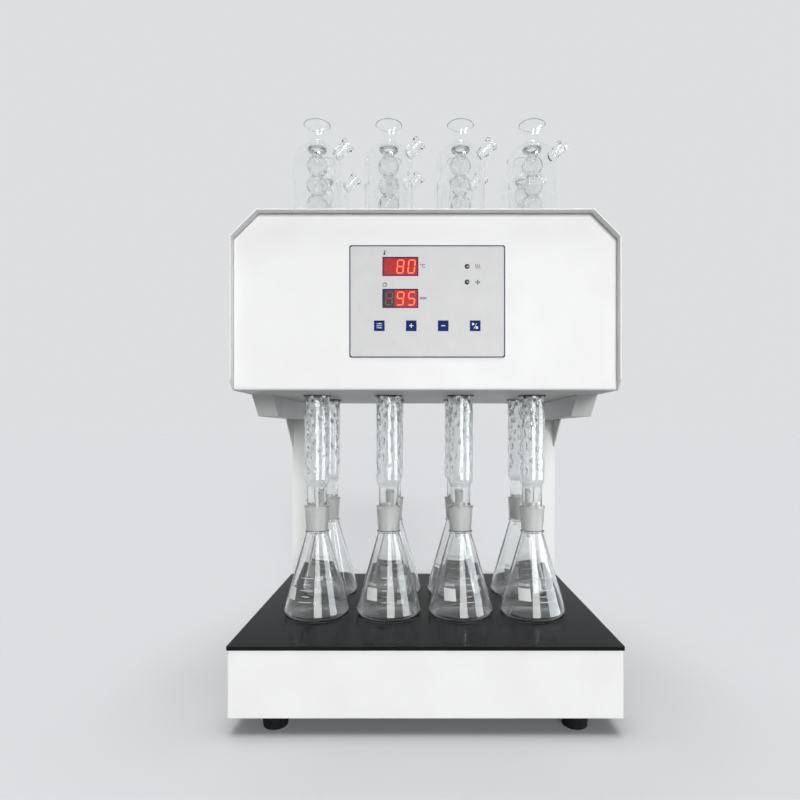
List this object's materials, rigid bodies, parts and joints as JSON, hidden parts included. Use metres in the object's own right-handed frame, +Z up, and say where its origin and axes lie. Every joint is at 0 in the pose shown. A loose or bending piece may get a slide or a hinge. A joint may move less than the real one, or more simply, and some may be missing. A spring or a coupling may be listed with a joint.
{
  "type": "chemical oxygen demand reactor",
  "caption": "Bench digester: glass-ceramic hotplate base, rear columns and head cabinet with control panel, glass reflux condensers standing through the head into conical flasks.",
  "frame": {"origin": "on the bench under the middle of the outline", "axes": "+X to the user's right, +Y to the back, +Z up; the control panel faces -Y"},
  "size_m": [0.412, 0.3356, 0.6867],
  "materials": {
    "white_coat": "satin",
    "zinc_steel": "plated",
    "black_rubber": "matte",
    "black_ceramic": "polished",
    "fibre_board": "matte",
    "heating_disc": "matte",
    "bright_steel": "satin",
    "fin_aluminium": "satin",
    "black_plastic": "satin",
    "plated_brass": "plated",
    "white_silicone": "matte",
    "dark_rubber": "matte",
    "grey_film": "satin",
    "green_board": "satin",
    "red_display": "gloss",
    "dark_lamp": "gloss",
    "blue_key": "satin",
    "clear_glass": "polished"
  },
  "bodies": {
    "stand": {"base_shell": "white_coat", "base_bottom": "zinc_steel", "rubber_feet": "black_rubber", "foot_screws": "zinc_steel", "glass_top": "black_ceramic", "heater_tray": "zinc_steel", "heater_dishes": "fibre_board", "heater_discs": "heating_disc", "temperature_probe": "bright_steel", "relay_heatsink": "fin_aluminium", "solid_state_relay": "black_plastic", "terminal_block": "black_plastic", "power_inlet": "black_plastic", "inlet_pins": "plated_brass", "rocker_frame": "black_plastic", "column_left": "white_coat", "arm_left": "white_coat", "gusset_left": "white_coat", "column_right": "white_coat", "arm_right": "white_coat", "gusset_right": "white_coat", "column_bolts": "zinc_steel", "head_chassis": "white_coat", "head_hood": "white_coat", "head_back_panel": "white_coat", "condenser_seats": "white_silicone", "tube_guides": "dark_rubber", "fan_frame_left": "black_plastic", "fan_frame_right": "black_plastic", "panel_overlay": "grey_film", "display_board": "green_board", "board_standoffs": "plated_brass", "digit_displays": "red_display", "indicator_lamps": "dark_lamp", "key_switches": "black_plastic", "power_supply": "black_plastic"},
    "condenser_front_1": {"condenser_front_1": "clear_glass"},
    "flask_front_1": {"flask_front_1": "clear_glass"},
    "condenser_front_2": {"condenser_front_2": "clear_glass"},
    "flask_front_2": {"flask_front_2": "clear_glass"},
    "condenser_front_3": {"condenser_front_3": "clear_glass"},
    "flask_front_3": {"flask_front_3": "clear_glass"},
    "condenser_front_4": {"condenser_front_4": "clear_glass"},
    "flask_front_4": {"flask_front_4": "clear_glass"},
    "condenser_rear_1": {"condenser_rear_1": "clear_glass"},
    "flask_rear_1": {"flask_rear_1": "clear_glass"},
    "condenser_rear_2": {"condenser_rear_2": "clear_glass"},
    "flask_rear_2": {"flask_rear_2": "clear_glass"},
    "condenser_rear_3": {"condenser_rear_3": "clear_glass"},
    "flask_rear_3": {"flask_rear_3": "clear_glass"},
    "condenser_rear_4": {"condenser_rear_4": "clear_glass"},
    "flask_rear_4": {"flask_rear_4": "clear_glass"},
    "key_set": {"key_set": "blue_key"},
    "key_up": {"key_up": "blue_key"},
    "key_down": {"key_down": "blue_key"},
    "key_start": {"key_start": "blue_key"},
    "fan_rotor_left": {"fan_rotor_left": "black_plastic"},
    "fan_rotor_right": {"fan_rotor_right": "black_plastic"},
    "rocker_paddle": {"rocker_paddle": "black_plastic"}
  },
  "joints": [
    {"name": "condenser_lift_front_1", "type": "slide", "parent": "stand", "child": "condenser_front_1", "axis": [0, 0, 1], "range_m": [0, 0.36]},
    {"name": "flask_twist_front_1", "type": "hinge", "parent": "stand", "child": "flask_front_1", "pos_m": [-0.1305, -0.06234, 0.093], "axis": [0, 0, 1], "continuous": true},
    {"name": "condenser_lift_front_2", "type": "slide", "parent": "stand", "child": "condenser_front_2", "axis": [0, 0, 1], "range_m": [0, 0.36]},
    {"name": "flask_twist_front_2", "type": "hinge", "parent": "stand", "child": "flask_front_2", "pos_m": [-0.0435, -0.06234, 0.093], "axis": [0, 0, 1], "continuous": true},
    {"name": "condenser_lift_front_3", "type": "slide", "parent": "stand", "child": "condenser_front_3", "axis": [0, 0, 1], "range_m": [0, 0.36]},
    {"name": "flask_twist_front_3", "type": "hinge", "parent": "stand", "child": "flask_front_3", "pos_m": [0.0435, -0.06234, 0.093], "axis": [0, 0, 1], "continuous": true},
    {"name": "condenser_lift_front_4", "type": "slide", "parent": "stand", "child": "condenser_front_4", "axis": [0, 0, 1], "range_m": [0, 0.36]},
    {"name": "flask_twist_front_4", "type": "hinge", "parent": "stand", "child": "flask_front_4", "pos_m": [0.1305, -0.06234, 0.093], "axis": [0, 0, 1], "continuous": true},
    {"name": "condenser_lift_rear_1", "type": "slide", "parent": "stand", "child": "condenser_rear_1", "axis": [0, 0, 1], "range_m": [0, 0.36]},
    {"name": "flask_twist_rear_1", "type": "hinge", "parent": "stand", "child": "flask_rear_1", "pos_m": [-0.1305, 0.02866, 0.093], "axis": [0, 0, 1], "continuous": true},
    {"name": "condenser_lift_rear_2", "type": "slide", "parent": "stand", "child": "condenser_rear_2", "axis": [0, 0, 1], "range_m": [0, 0.36]},
    {"name": "flask_twist_rear_2", "type": "hinge", "parent": "stand", "child": "flask_rear_2", "pos_m": [-0.0435, 0.02866, 0.093], "axis": [0, 0, 1], "continuous": true},
    {"name": "condenser_lift_rear_3", "type": "slide", "parent": "stand", "child": "condenser_rear_3", "axis": [0, 0, 1], "range_m": [0, 0.36]},
    {"name": "flask_twist_rear_3", "type": "hinge", "parent": "stand", "child": "flask_rear_3", "pos_m": [0.0435, 0.02866, 0.093], "axis": [0, 0, 1], "continuous": true},
    {"name": "condenser_lift_rear_4", "type": "slide", "parent": "stand", "child": "condenser_rear_4", "axis": [0, 0, 1], "range_m": [0, 0.36]},
    {"name": "flask_twist_rear_4", "type": "hinge", "parent": "stand", "child": "flask_rear_4", "pos_m": [0.1305, 0.02866, 0.093], "axis": [0, 0, 1], "continuous": true},
    {"name": "key_press_set", "type": "slide", "parent": "stand", "child": "key_set", "axis": [0, 1, 0], "range_m": [0, 0.0005], "stiffness_N_per_m": 600},
    {"name": "key_press_up", "type": "slide", "parent": "stand", "child": "key_up", "axis": [0, 1, 0], "range_m": [0, 0.0005], "stiffness_N_per_m": 600},
    {"name": "key_press_down", "type": "slide", "parent": "stand", "child": "key_down", "axis": [0, 1, 0], "range_m": [0, 0.0005], "stiffness_N_per_m": 600},
    {"name": "key_press_start", "type": "slide", "parent": "stand", "child": "key_start", "axis": [0, 1, 0], "range_m": [0, 0.0005], "stiffness_N_per_m": 600},
    {"name": "fan_spin_left", "type": "hinge", "parent": "stand", "child": "fan_rotor_left", "pos_m": [-0.082, 0.11916, 0.45285], "axis": [0, 1, 0], "continuous": true},
    {"name": "fan_spin_right", "type": "hinge", "parent": "stand", "child": "fan_rotor_right", "pos_m": [0.082, 0.11916, 0.45285], "axis": [0, 1, 0], "continuous": true},
    {"name": "power_rocker", "type": "hinge", "parent": "stand", "child": "rocker_paddle", "pos_m": [-0.088, 0.15896, 0.055], "axis": [1, 0, 0], "range_deg": [0, 16]}
  ]
}
